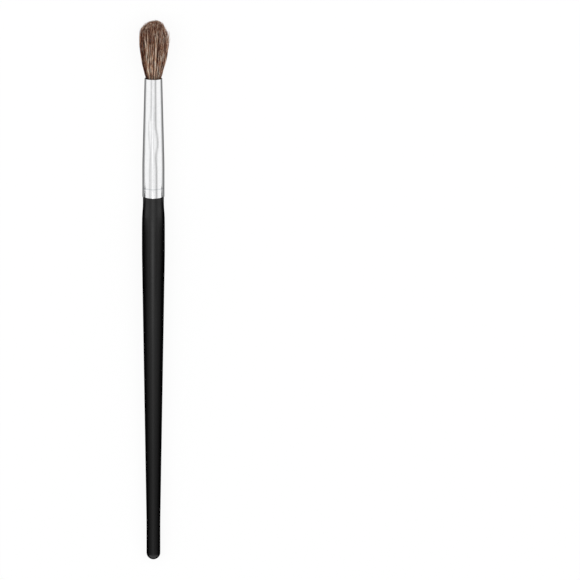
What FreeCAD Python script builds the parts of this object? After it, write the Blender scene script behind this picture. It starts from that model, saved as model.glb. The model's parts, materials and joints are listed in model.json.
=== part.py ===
"""Eyeshadow brush: a tuft of natural hair, tied with thread and set in resin inside a drawn aluminium
ferrule, which is glued and crimped on to the tenon of a turned and lacquered wooden handle.

Every piece is drawn upright about the Z axis, at its height above the tail's tip. Then the whole brush is
laid on its side, as on a table top at z = 0, with its tuft towards +X. It rests on its tail and on two locks
of hair that share the lower side, with the belly of the handle just clear. The origin is the middle of the
box's underside. Sizes are in millimetres.
"""

import FreeCAD
import Part
import math
import os

# Handle
HANDLE_LENGTH = 117.9  # from the tail's tip to the shoulder under the ferrule
TAIL_DIAMETER = 4.4
TAIL_LAND = 8.0  # straight cylinder above the rounded tail
BELLY_DIAMETER = 7.3
BELLY_LAND = 6.0  # straight cylinder at the widest place
TAPER_BLEND = 4.0  # length of the easing at each end of the long taper
SHOULDER_RUN = 8.4  # length of the curve from the belly in to the neck
SHOULDER_BLEND = 4.0  # length of the easing at its lower end
SHOULDER_KNEE = 3.9  # from its upper end down to the knee where it turns steeper
SHOULDER_KNEE_SHARE = 0.75  # of the belly's rise above the neck that the knee has
SHOULDER_KNEE_BLEND = 2.6  # length of the easing at the knee
NECK_BLEND = 1.6  # length of the easing at the curve's upper end
NECK_LAND = 2.0  # straight cylinder just under the ferrule
NECK_STEP = 0.15  # by which the ferrule stands proud of the neck
NECK_CHAMFER = 0.08
TENON_CHAMFER = 0.6

# Ferrule
FERRULE_STRAIGHT = 10.6  # length of the straight tube over the tenon
FERRULE_TAPER = 27.7  # length from there to the mouth
FERRULE_DIAMETER = 7.0  # outside, over the tenon
MOUTH_DIAMETER = 5.6  # outside, at the hair
FERRULE_WALL = 0.35
FERRULE_CURL = 0.18  # by which the lower edge is turned in
MOUTH_CHAMFER = 0.1
CRIMP_HEIGHT = 3.0  # from the lower edge to the middle of the crimped ring
CRIMP_WIDTH = 1.0
CRIMP_DEPTH = 0.12

# Glue between the tenon and the ferrule
GLUE_FILM = 0.1
TENON_SETBACK = 0.5  # the tenon stops this far short of the ferrule's taper

# Hair
TUFT_LENGTH = 18.9  # from the ferrule's mouth to the tuft's crown
TUFT_DIAMETER = 9.75  # at its belly
TUFT_BELLY_HEIGHT = 12.5  # of the widest place above the mouth
FLARE_POWER = 1.2  # how gently the bundle starts to open above the mouth
CLOSING_SHARE = 0.36  # of its opening that the bundle loses again from its belly to the crown
HAIR_CLEARANCE = 0.05  # between the bundle and the ferrule's mouth
ROOT_DEPTH = 12.0  # of hair inside the ferrule
CROWN_DROP = 4.2  # how far the hair at the bundle's edge ends below the crown
CROWN_POWER = 2.4  # how squarely the crown falls away towards its edge
CROWN_SHIFT_SHARE = 0.1  # of the bundle's radius, by which the crown's top stands to one side
UNEVEN_TIPS = 0.35  # how far a lock's tip falls short of an even dome on average, and at most twice that
LOCK_RINGS = 3  # round the lock in the middle
LOCKS_PER_STEP = 6  # each ring has this many locks more than the one inside it
LOCK_FILL_SHARE = 0.94  # of the space between lock centres that a lock takes up
LOCK_TWIST = 30.0  # degrees by which each ring is turned against the one inside it
LOCK_SIDES = 8  # flat sides round a lock
LOCK_STATION_SHARES = (0.15, 0.3, 0.45, 0.6, 0.7, 0.8, 0.9)  # of the tuft's length
LOCK_TIP_RUN = 5.0  # length over which a lock draws in to its tip
LOCK_TIP_POWER = 0.8  # how bluntly it does so
LOCK_TIP_SHARE = 0.1  # of a lock's full width, left at its very tip
LOCK_TIP_STEP = 0.4  # shortest length from a lock's last station to its tip

# Binding thread
THREAD_DIAMETER = 0.3
THREAD_PITCH = 0.75
THREAD_TURNS = 4
THREAD_SIDES = 6  # flat sides round the thread
THREAD_CLEARANCE = 0.02  # between the thread and the hair
THREAD_SEAT = 0.1  # between the first turn and the resin
QUARTERS = 4  # stretches of thread path in one turn

# Resin plug
PLUG_FLOOR = 3.5  # resin under the roots
PLUG_COLLAR = 3.3  # resin round the roots
PLUG_CLEARANCE = 0.03  # between the collar and the hair

ORIGIN = FreeCAD.Vector(0, 0, 0)
AXIS = FreeCAD.Vector(0, 0, 1)
FULL_TURN = 360.0
QUARTER_TURN = 90.0

# Radii
tail_radius = TAIL_DIAMETER / 2
belly_radius = BELLY_DIAMETER / 2
ferrule_radius = FERRULE_DIAMETER / 2
neck_radius = ferrule_radius - NECK_STEP
knee_radius = neck_radius + SHOULDER_KNEE_SHARE * (belly_radius - neck_radius)
bore_radius = ferrule_radius - FERRULE_WALL
tenon_radius = bore_radius - GLUE_FILM
mouth_radius = MOUTH_DIAMETER / 2
mouth_bore_radius = mouth_radius - FERRULE_WALL
bundle_mouth_radius = mouth_bore_radius - HAIR_CLEARANCE
bundle_belly_radius = TUFT_DIAMETER / 2
thread_radius = THREAD_DIAMETER / 2
tie_radius = bundle_mouth_radius - THREAD_DIAMETER - THREAD_CLEARANCE

# Heights, from the handle up
tail_tip = 0
tail_centre = tail_tip + tail_radius
tail_land_top = tail_centre + TAIL_LAND
shoulder = tail_tip + HANDLE_LENGTH
neck_bottom = shoulder - NECK_LAND
belly_top = neck_bottom - SHOULDER_RUN
belly_bottom = belly_top - BELLY_LAND
crimp_middle = shoulder + CRIMP_HEIGHT
taper_bottom = shoulder + FERRULE_STRAIGHT
tenon_top = taper_bottom - TENON_SETBACK
mouth = taper_bottom + FERRULE_TAPER
roots = mouth - ROOT_DEPTH
plug_bottom = roots - PLUG_FLOOR
plug_top = roots + PLUG_COLLAR
first_turn = plug_top + THREAD_SEAT + thread_radius
last_turn = first_turn + THREAD_PITCH * THREAD_TURNS
tie_depth = mouth - last_turn - thread_radius


def bend(before, corner, after, run):
    """Start, end and edge of the arc that rounds a corner, from one run before it to one run after it."""
    towards_before = (before - corner).normalize()
    towards_after = (after - corner).normalize()
    half_angle = towards_before.getAngle(towards_after) / 2
    inward = (towards_before + towards_after).normalize()
    cut_off = run * (1 - math.sin(half_angle)) / math.cos(half_angle)
    start = corner + towards_before * run
    end = corner + towards_after * run
    return start, end, Part.Arc(start, corner + inward * cut_off, end).toShape()


def revolved(corners):
    """Solid turned about the axis, from corners given as (radius, height[, rounding run])."""
    points = [FreeCAD.Vector(corner[0], 0, corner[1]) for corner in corners]
    runs = [corner[2] if len(corner) > 2 else 0 for corner in corners]
    count = len(points)
    stretches = []
    for index, point in enumerate(points):
        after = points[(index + 1) % count]
        if runs[index]:
            stretches.append(bend(points[index - 1], point, after, runs[index]))
        else:
            stretches.append((point, point, None))
    edges = []
    for index, (start, end, arc) in enumerate(stretches):
        if arc:
            edges.append(arc)
        following = stretches[(index + 1) % count][0]
        if not end.isEqual(following, Part.Precision.confusion()):
            edges.append(Part.LineSegment(end, following).toShape())
    face = Part.Face(Part.Wire(edges))
    return face.revolve(ORIGIN, AXIS, FULL_TURN)


def crimped(radius):
    """Corners of the ring that the crimp presses into a surface of this radius, from below."""
    half_width = CRIMP_WIDTH / 2
    return [
        (radius, crimp_middle - half_width),
        (radius - CRIMP_DEPTH, crimp_middle),
        (radius, crimp_middle + half_width),
    ]


def bore_radius_at(height):
    """Inside radius of the ferrule's taper at a height."""
    share = (mouth - height) / FERRULE_TAPER
    return mouth_bore_radius + (bore_radius - mouth_bore_radius) * share


def make_handle():
    """Turned handle: rounded tail, long taper, belly, neck and the tenon inside the ferrule."""
    taper_run = TAPER_BLEND / 2
    shoulder_run = SHOULDER_BLEND / 2
    knee_run = SHOULDER_KNEE_BLEND / 2
    neck_run = NECK_BLEND / 2
    return revolved(
        [
            (0, tail_tip),
            (tail_radius, tail_tip, tail_radius),
            (tail_radius, tail_land_top + taper_run, taper_run),
            (belly_radius, belly_bottom - taper_run, taper_run),
            (belly_radius, belly_top + shoulder_run, shoulder_run),
            (knee_radius, neck_bottom - SHOULDER_KNEE, knee_run),
            (neck_radius, neck_bottom - neck_run, neck_run),
            (neck_radius, shoulder - NECK_CHAMFER),
            (neck_radius - NECK_CHAMFER, shoulder),
            (tenon_radius, shoulder),
            *crimped(tenon_radius),
            (tenon_radius, tenon_top - TENON_CHAMFER),
            (tenon_radius - TENON_CHAMFER, tenon_top),
            (0, tenon_top),
        ]
    )


def make_tenon_glue():
    """Film of glue that fills the gap between the tenon and the ferrule."""
    return revolved(
        [
            (tenon_radius, shoulder),
            (bore_radius, shoulder),
            *crimped(bore_radius),
            (bore_radius, tenon_top - TENON_CHAMFER),
            (tenon_radius, tenon_top - TENON_CHAMFER),
            *reversed(crimped(tenon_radius)),
        ]
    )


def make_ferrule():
    """Drawn tube: straight over the tenon, with a crimped ring and a turned-in edge, then tapered."""
    return revolved(
        [
            (bore_radius, shoulder),
            (ferrule_radius - FERRULE_CURL, shoulder),
            (ferrule_radius, shoulder + FERRULE_CURL),
            *crimped(ferrule_radius),
            (ferrule_radius, taper_bottom),
            (mouth_radius, mouth - MOUTH_CHAMFER),
            (mouth_radius - MOUTH_CHAMFER, mouth),
            (mouth_bore_radius, mouth),
            (bore_radius, taper_bottom),
            *reversed(crimped(bore_radius)),
        ]
    )


def make_root_plug():
    """Cup of cured resin: a floor under the hair roots and a collar between them and the ferrule."""
    socket_radius = tie_radius + PLUG_CLEARANCE
    return revolved(
        [
            (0, plug_bottom),
            (bore_radius_at(plug_bottom), plug_bottom),
            (bore_radius_at(plug_top), plug_top),
            (socket_radius, plug_top),
            (socket_radius, roots),
            (0, roots),
        ]
    )


def corners_round(centre, radius, sides, across, onward):
    """Corners of an even polygon inside a circle, in the plane of two square directions."""
    angles = [math.tau * corner / sides for corner in range(sides)]
    return [centre + (across * math.cos(a) + onward * math.sin(a)) * radius for a in angles]


def closed(points):
    """Closed wire through the points."""
    return Part.makePolygon([*points, points[0]])


def on_helix(turns, radius):
    """Point of the thread's path after this many turns, with the way ahead and the way outward there."""
    angle = math.tau * turns
    lead_angle = math.atan2(THREAD_PITCH, math.tau * radius)
    outward = FreeCAD.Vector(math.cos(angle), math.sin(angle), 0)
    around = AXIS.cross(outward)
    point = AXIS * (first_turn + THREAD_PITCH * turns) + outward * radius
    return point, around * math.cos(lead_angle) + AXIS * math.sin(lead_angle), outward


def make_binding_thread():
    """Thread wound round the roots, as a tube along tangent arcs, two to each quarter of a turn."""
    wound_radius = tie_radius + THREAD_CLEARANCE + thread_radius
    edges = []
    for quarter in range(THREAD_TURNS * QUARTERS):
        start, leaving, _ = on_helix(quarter / QUARTERS, wound_radius)
        end, arriving, _ = on_helix((quarter + 1) / QUARTERS, wound_radius)
        chord = end - start
        bending = 2 * (1 - leaving.dot(arriving))
        along = chord.dot(leaving + arriving)
        run = (math.sqrt(along * along + bending * chord.dot(chord)) - along) / bending
        first_corner = start + leaving * run
        last_corner = end - arriving * run
        middle = (first_corner + last_corner) / 2
        edges.append(bend(start, first_corner, middle, run)[2])
        edges.append(bend(middle, last_corner, end, run)[2])
    path = Part.Wire(edges)
    report_thread_gap(path)
    start, leaving, outward = on_helix(0, wound_radius)
    section = corners_round(start, thread_radius, THREAD_SIDES, outward, leaving.cross(outward))
    return path.makePipeShell([closed(section)], True, False)


def report_thread_gap(path):
    """Prints the least gap between one turn of the thread and another, measured on points along its path."""
    per_turn = QUARTERS * QUARTERS
    points = path.discretize(Number=THREAD_TURNS * per_turn + 1)
    gaps = []
    for index, point in enumerate(points):
        for other in points[index + per_turn // 2 :]:
            gaps.append(point.distanceToPoint(other) - THREAD_DIAMETER)
    print(f"binding_thread: least gap to itself {min(gaps):.2f} mm")


def bundle_radius_at(above_mouth):
    """Radius of the hair bundle at a height above the mouth, which is negative inside the ferrule."""
    if above_mouth <= 0:
        drawn_in = min(1, -above_mouth / tie_depth)
        return bundle_mouth_radius + (tie_radius - bundle_mouth_radius) * drawn_in
    if above_mouth <= TUFT_BELLY_HEIGHT:
        opening = math.sin(math.pi / 2 * above_mouth / TUFT_BELLY_HEIGHT) ** FLARE_POWER
    else:
        above_belly = (above_mouth - TUFT_BELLY_HEIGHT) / (TUFT_LENGTH - TUFT_BELLY_HEIGHT)
        opening = 1 - CLOSING_SHARE * above_belly**2
    return bundle_mouth_radius + (bundle_belly_radius - bundle_mouth_radius) * opening


def tip_above_mouth(out_share, bearing, number):
    """Height above the mouth at which a lock ends, near a dome whose top stands a little towards -Y."""
    sideways = out_share * math.sin(bearing) + CROWN_SHIFT_SHARE
    from_top = math.hypot(out_share * math.cos(bearing), sideways)
    golden_angle = math.pi * (3 - math.sqrt(5))
    uneven = UNEVEN_TIPS * (math.sin(number * golden_angle) - 1)
    return TUFT_LENGTH - CROWN_DROP * from_top**CROWN_POWER + uneven


def faceted(rings):
    """Solid with flat sides between rings of corners, which lie in level planes and differ only in size."""
    faces = [Part.Face(closed(rings[0])), Part.Face(closed(rings[-1]))]
    for lower, upper in zip(rings, rings[1:]):
        for side in range(len(lower)):
            last = side - 1
            faces.append(Part.Face(closed([lower[last], lower[side], upper[side], upper[last]])))
    return Part.Solid(Part.Shell(faces))


def make_lock(ring, bearing, number):
    """One lock of hair, from its root in the resin to its tip, lying beside its neighbours all the way."""
    steps = LOCK_RINGS + 1 / 2
    out_share = ring / steps
    tip = tip_above_mouth(out_share, bearing, number)
    stations = [share * TUFT_LENGTH for share in LOCK_STATION_SHARES]
    heights = [-ROOT_DEPTH, -tie_depth, 0]
    heights += [height for height in stations if height < tip - LOCK_TIP_STEP]
    heights.append(tip)
    outward = FreeCAD.Vector(math.cos(bearing), math.sin(bearing), 0)
    rings = []
    for height in heights:
        from_tip = min(1, (tip - height) / LOCK_TIP_RUN)
        fullness = max(LOCK_TIP_SHARE, math.sin(math.pi / 2 * from_tip) ** LOCK_TIP_POWER)
        bundle_radius = bundle_radius_at(height)
        lock_radius = fullness * LOCK_FILL_SHARE * bundle_radius / steps / 2
        centre = AXIS * (mouth + height) + outward * (bundle_radius * out_share)
        rings.append(corners_round(centre, lock_radius, LOCK_SIDES, outward, AXIS.cross(outward)))
    return faceted(rings)


def make_lock_ring(ring):
    """All the locks of one ring; ring zero is the single lock in the middle."""
    count = ring * LOCKS_PER_STEP or 1
    turned = math.radians(LOCK_TWIST) * ring
    bearings = [turned + math.tau * index / count for index in range(count)]
    locks = [make_lock(ring, bearing, ring + index) for index, bearing in enumerate(bearings)]
    return Part.makeCompound(locks)


def lean_on(point):
    """Lean of the axis when the round tail and this point of the upright brush both touch the table."""
    above_tail = point.z - tail_centre
    reach = math.hypot(above_tail, point.x)
    return math.atan2(point.x, above_tail) - math.asin(tail_radius / reach)


def lay_down(pieces):
    """The pieces with the upright brush's +X side down, leaning on the first point to touch the table."""
    points = [vertex.Point for piece in pieces.values() for vertex in piece.Vertexes]
    lean = max(lean_on(point) for point in points if point.z > tail_land_top)
    on_side = FreeCAD.Rotation(FreeCAD.Vector(0, 1, 0), QUARTER_TURN - math.degrees(lean))
    whole = Part.makeCompound(list(pieces.values()))
    whole.Placement = FreeCAD.Placement(ORIGIN, on_side)
    box = whole.optimalBoundingBox(False, False)
    laid = FreeCAD.Placement(FreeCAD.Vector(-box.Center.x, -box.Center.y, -box.ZMin), on_side)
    print(f"axis, from tuft to tail: {on_side.multVec(-AXIS)}")
    print(f"middle of the tail's straight: {laid.multVec(AXIS * (tail_centre + TAIL_LAND / 2))}")
    print(f"middle of the belly's straight: {laid.multVec(AXIS * (belly_bottom + BELLY_LAND / 2))}")
    return {name: piece.transformed(laid.toMatrix()) for name, piece in pieces.items()}


def main():
    """Builds every piece, lays the brush down and writes one STEP file for each."""
    pieces = {
        "handle": make_handle(),
        "ferrule": make_ferrule(),
        "tenon_glue": make_tenon_glue(),
        "root_plug": make_root_plug(),
        "binding_thread": make_binding_thread(),
        "hair_lock_centre": make_lock_ring(0),
        "hair_locks_inner": make_lock_ring(1),
        "hair_locks_middle": make_lock_ring(2),
        "hair_locks_outer": make_lock_ring(3),
    }
    os.makedirs("parts", exist_ok=True)
    for name, piece in lay_down(pieces).items():
        print(f"{name}: {len(piece.Solids)} solids, {piece.Volume:.2f} mm3, valid {piece.isValid()}")
        piece.exportStep(f"parts/{name}.step")


main()
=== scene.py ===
"""Looks of the eyeshadow brush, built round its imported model.

The brush lies on a white table, seen from above and a little from the tuft's side. The handle, the resin and the
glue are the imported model's own nodes with finer finishes. The ferrule, the binding thread and the hair are finer
pieces that stand in the places of their nodes. Sizes are in millimetres until a point is placed on the brush.
"""

import json
import logging
import math
from dataclasses import dataclass, field
from enum import Enum
from typing import Any, Sequence

import bpy
import numpy as np
from mathutils import Matrix, Vector

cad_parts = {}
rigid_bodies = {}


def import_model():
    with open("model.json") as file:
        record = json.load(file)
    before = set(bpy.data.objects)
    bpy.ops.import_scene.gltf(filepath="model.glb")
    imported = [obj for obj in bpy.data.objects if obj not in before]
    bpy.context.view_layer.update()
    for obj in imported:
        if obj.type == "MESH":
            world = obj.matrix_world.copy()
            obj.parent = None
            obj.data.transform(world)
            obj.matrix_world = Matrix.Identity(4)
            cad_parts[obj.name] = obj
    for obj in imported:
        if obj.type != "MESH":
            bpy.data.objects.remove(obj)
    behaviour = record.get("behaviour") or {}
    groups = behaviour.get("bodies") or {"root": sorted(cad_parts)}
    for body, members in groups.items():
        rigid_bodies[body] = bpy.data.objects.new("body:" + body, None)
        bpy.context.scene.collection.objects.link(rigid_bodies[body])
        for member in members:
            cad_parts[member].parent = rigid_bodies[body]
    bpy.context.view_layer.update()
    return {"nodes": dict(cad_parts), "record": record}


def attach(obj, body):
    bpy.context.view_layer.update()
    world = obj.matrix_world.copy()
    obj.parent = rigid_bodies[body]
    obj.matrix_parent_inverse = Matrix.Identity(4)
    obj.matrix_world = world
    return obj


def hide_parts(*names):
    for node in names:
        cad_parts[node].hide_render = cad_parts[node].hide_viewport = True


MM = 0.001
FULL_TURN = math.tau
QUARTER_TURN = math.pi / 2
WHITE = "#FFFFFF"

# UV maps: bearing and height on the tube, tone and place along a strand, and place across a stage sheet. The strands'
# map has the name under which the export keeps a map for its own use.
AROUND_ALONG = "around_along"
TONE_ALONG = "OFBake"
ACROSS = "across"

# The lowest and highest value that a noise texture often has.
NOISE_SPAN = {"From Min": 0.3, "From Max": 0.7}

Pair = tuple[float, float]
Triple = tuple[float, float, float]
Stops = tuple[tuple[float, str], ...]

log = logging.getLogger("brush")


def linear(hex_colour: str) -> tuple[float, float, float, float]:
    """Turns an sRGB hex colour into linear values.

    Args:
        hex_colour: six hex digits after a hash.

    Returns:
        Linear red, green and blue, and an alpha of one.
    """
    shares = [int(hex_colour[place : place + 2], 16) / 255 for place in (1, 3, 5)]
    red, green, blue = [s / 12.92 if s <= 0.04045 else ((s + 0.055) / 1.055) ** 2.4 for s in shares]
    return red, green, blue, 1.0


def add_node(
    tree: bpy.types.NodeTree, kind: str, inputs: dict[Any, Any], stops: Stops = (), **settings: Any
) -> bpy.types.Node:
    """Adds a node with its settings, and sets or links its inputs.

    Args:
        tree: the node tree that the node goes into.
        kind: Blender's name for the node's type, after the word that all shader nodes start with.
        inputs: for each input's name or number, a value, the output that feeds it, or the node whose first output does.
        stops: for a colour ramp, each stop's place from 0 to 1 and its hex colour, in order.
        settings: the node's own properties.

    Returns:
        The new node.
    """
    node = tree.nodes.new("ShaderNode" + kind)
    for name, value in settings.items():
        setattr(node, name, value)
    for name, value in inputs.items():
        source = value.outputs[0] if isinstance(value, bpy.types.Node) else value
        if isinstance(source, bpy.types.NodeSocket):
            tree.links.new(source, node.inputs[name])
        else:
            node.inputs[name].default_value = source
    for number, (place, colour) in enumerate(stops):
        elements = node.color_ramp.elements
        element = elements[number] if number < len(elements) else elements.new(place)
        element.position, element.color = place, linear(colour)
    return node


def new_material(name: str) -> tuple[bpy.types.Material, bpy.types.NodeTree]:
    """Makes a material without nodes.

    Args:
        name: the material's name.

    Returns:
        The material and its node tree.
    """
    material = bpy.data.materials.new(name)
    material.use_nodes = True
    material.node_tree.nodes.clear()
    return material, material.node_tree


def seen_directly(tree: bpy.types.NodeTree) -> bpy.types.Node:
    """Tells the rays that show a surface from those that only carry its light.

    Args:
        tree: the node tree of the surface or the sky.

    Returns:
        A node that gives 1 to rays of the camera, of gloss and of glass, and 0 to others.
    """
    path = add_node(tree, "LightPath", {})
    shown = {0: path.outputs["Is Camera Ray"], 1: path.outputs["Is Glossy Ray"]}
    shown = {0: add_node(tree, "Math", shown, operation="MAXIMUM"), 1: path.outputs["Is Transmission Ray"]}
    return add_node(tree, "Math", shown, operation="MAXIMUM")


def grid_faces(
    grids: int, rows: int, columns: int, round_rows: bool = False, round_columns: bool = True
) -> tuple[np.ndarray, np.ndarray, np.ndarray, np.ndarray]:
    """Lists the faces between neighbouring points of one grid of points, or of several that are alike.

    Args:
        grids: number of grids.
        rows: rows of points in a grid.
        columns: points in a row.
        round_rows: whether the last row joins the first.
        round_columns: whether a row's last point joins its first.

    Returns:
        Four point numbers for each face, and the grid, row and column of each face.
    """
    counts = (grids, rows if round_rows else rows - 1, columns if round_columns else columns - 1)
    grid, row, column = (part.ravel() for part in np.indices(counts))
    next_row, next_column = (row + 1) % rows, (column + 1) % columns
    around = ((row, column), (row, next_column), (next_row, next_column), (next_row, column))
    return np.stack([(grid * rows + down) * columns + along for down, along in around], axis=1), grid, row, column


def end_faces(tubes: int, rows: int, columns: int) -> tuple[np.ndarray, np.ndarray]:
    """Lists the faces that close the ends of tubes.

    Args:
        tubes: number of tubes.
        rows: rows of points along a tube.
        columns: points round a tube.

    Returns:
        Point numbers of the faces at the tubes' starts, and of those at their ends.
    """
    first = np.arange(tubes)[:, None] * rows * columns
    ring = np.arange(columns)
    return first + ring[::-1], first + (rows - 1) * columns + ring


def add_piece(
    name: str,
    points: np.ndarray,
    face_groups: Sequence[np.ndarray],
    uv_name: str = "",
    uv_groups: Sequence[np.ndarray] = (),
) -> bpy.types.Object:
    """Makes a smooth mesh object.

    Args:
        name: the object's name.
        points: points in metres, with the three directions as the last axis.
        face_groups: arrays of point numbers, one row for each face, all faces of a group with as many corners.
        uv_name: the name of its UV map, if it has one.
        uv_groups: two values for each corner of each face group.

    Returns:
        The object, linked into the scene.
    """
    mesh = bpy.data.meshes.new(name)
    corners = np.concatenate([group.ravel() for group in face_groups])
    sizes = np.concatenate([np.full(len(group), group.shape[1]) for group in face_groups])
    mesh.vertices.add(points.size // 3)
    mesh.vertices.foreach_set("co", points.astype(np.float32).ravel())
    mesh.loops.add(len(corners))
    mesh.loops.foreach_set("vertex_index", corners.astype(np.int32))
    mesh.polygons.add(len(sizes))
    mesh.polygons.foreach_set("loop_start", (np.cumsum(sizes) - sizes).astype(np.int32))
    mesh.polygons.foreach_set("use_smooth", np.ones(len(sizes), bool))
    mesh.update(calc_edges=True)
    if uv_name:
        layer = mesh.uv_layers.new(name=uv_name)
        flat = np.concatenate([group.ravel() for group in uv_groups])
        layer.uv.foreach_set("vector", flat.astype(np.float32))
    mesh.validate()
    piece = bpy.data.objects.new(name, mesh)
    bpy.context.scene.collection.objects.link(piece)
    return piece


def wear(piece: bpy.types.Object, material: bpy.types.Material) -> None:
    """Gives a piece one material in place of any that it has.

    Args:
        piece: the piece.
        material: its material.
    """
    if not piece.material_slots:
        piece.data.materials.append(material)
    for place in piece.material_slots:
        place.material = material


def set_in_place(piece: bpy.types.Object, node: str) -> None:
    """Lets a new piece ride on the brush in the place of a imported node.

    Args:
        piece: the new piece.
        node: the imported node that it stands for.
    """
    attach(piece, "root")
    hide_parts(node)


@dataclass(frozen=True)
class BrushAxis:
    """The brush's centre line, from the tail's tip towards the tuft.

    Attributes:
        tip: the tail's tip, in metres.
        along: direction towards the tuft.
        down: direction square to that, towards the table.
        side: direction square to both.
    """

    tip: np.ndarray
    along: np.ndarray
    down: np.ndarray
    side: np.ndarray

    @classmethod
    def from_record(cls, record: dict[str, Any]) -> "BrushAxis":
        """Finds the line from the mount on the straight tail, whose round end has the mount's radius.

        Args:
            record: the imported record.

        Returns:
            The line.
        """
        pin = next(mount for mount in record["mounts"] if mount["name"] == "tail_pin")
        along = -np.array(pin["axis"])
        along /= np.linalg.norm(along)
        side = np.array((0.0, 1.0, 0.0))
        from_tip = pin["dims"]["r_mm"] + pin["dims"]["length_mm"] / 2
        return cls(np.array(pin["pos_m"]) - along * from_tip * MM, along, np.cross(side, along), side)

    def points(self, heights: np.ndarray, downs: np.ndarray, sides: np.ndarray) -> np.ndarray:
        """Places points on the brush.

        Args:
            heights: millimetres above the tail's tip.
            downs: millimetres from the line towards the table.
            sides: millimetres from the line to the side.

        Returns:
            Points in metres, with one axis more than the arguments have.
        """
        parts = zip((heights, downs, sides), (self.along, self.down, self.side))
        return self.tip + sum(np.asarray(part)[..., None] * way for part, way in parts) * MM

    def measure(self, node: bpy.types.Object) -> tuple[np.ndarray, np.ndarray]:
        """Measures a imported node's points along and out from the line.

        Args:
            node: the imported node's object.

        Returns:
            Heights above the tail's tip and distances from the line, in millimetres.
        """
        flat = np.empty(len(node.data.vertices) * 3, np.float32)
        node.data.vertices.foreach_get("co", flat)
        offsets = (flat.reshape(-1, 3) - self.tip) / MM
        heights = offsets @ self.along
        return heights, np.linalg.norm(offsets - heights[:, None] * self.along, axis=1)


@dataclass(frozen=True)
class Finish:
    """A finish, which is one Principled surface.

    Attributes:
        name: the material's name.
    """

    name: str

    def surface(self, tree: bpy.types.NodeTree) -> dict[str, Any]:
        """Adds the nodes that feed the surface.

        Args:
            tree: the material's node tree.

        Returns:
            The surface's inputs.
        """
        raise NotImplementedError

    def make(self) -> bpy.types.Material:
        """Builds the material.

        Returns:
            The material.
        """
        material, tree = new_material(self.name)
        shader = add_node(tree, "BsdfPrincipled", self.surface(tree))
        add_node(tree, "OutputMaterial", {"Surface": shader})
        return material


@dataclass(frozen=True)
class BlackLacquer(Finish):
    """Satin black nitrocellulose lacquer, sprayed on turned hardwood.

    It is nearly black, with a broad soft highlight. The wood's grain shows through as faint long streaks in the gloss,
    and the sprayed film has a slight orange peel.

    Attributes:
        tones: of the film, from closed to open grain.
        gloss_roughness: where the grain is closed.
        dull_roughness: where it is open.
        grain_width: of a streak of grain.
        grain_length: of a streak of grain.
        peel_width: of a dimple of the orange peel.
        peel_depth: of a dimple.
    """

    name: str = "satin_black_lacquer_on_turned_wood"
    tones: Stops = ((0.35, "#020203"), (0.7, "#070505"))
    ior: float = 1.5
    gloss_roughness: float = 0.24
    dull_roughness: float = 0.34
    grain_width: float = 0.5
    grain_length: float = 26.0
    peel_width: float = 0.9
    peel_depth: float = 0.004

    def surface(self, tree: bpy.types.NodeTree) -> dict[str, Any]:
        """Adds the grain and the orange peel.

        Args:
            tree: the material's node tree.

        Returns:
            The surface's inputs.
        """
        place = add_node(tree, "TexCoord", {}).outputs["Object"]
        stretch = [1 / (size * MM) for size in (self.grain_length, self.grain_width, self.grain_width)]
        grained = add_node(tree, "Mapping", {"Vector": place, "Scale": stretch})
        grain = add_node(tree, "TexNoise", {"Vector": grained, "Scale": 1.0, "Detail": 4.0})
        peel = add_node(tree, "TexNoise", {"Vector": place, "Scale": 1 / (self.peel_width * MM), "Detail": 2.0})
        rough = {"Value": grain, **NOISE_SPAN, "To Min": self.gloss_roughness, "To Max": self.dull_roughness}
        raised = {"Height": peel, "Strength": 0.25, "Distance": self.peel_depth * MM}
        return {
            "Base Color": add_node(tree, "ValToRGB", {"Fac": grain}, self.tones),
            "Roughness": add_node(tree, "MapRange", rough),
            "IOR": self.ior,
            "Normal": add_node(tree, "Bump", raised),
        }


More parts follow.
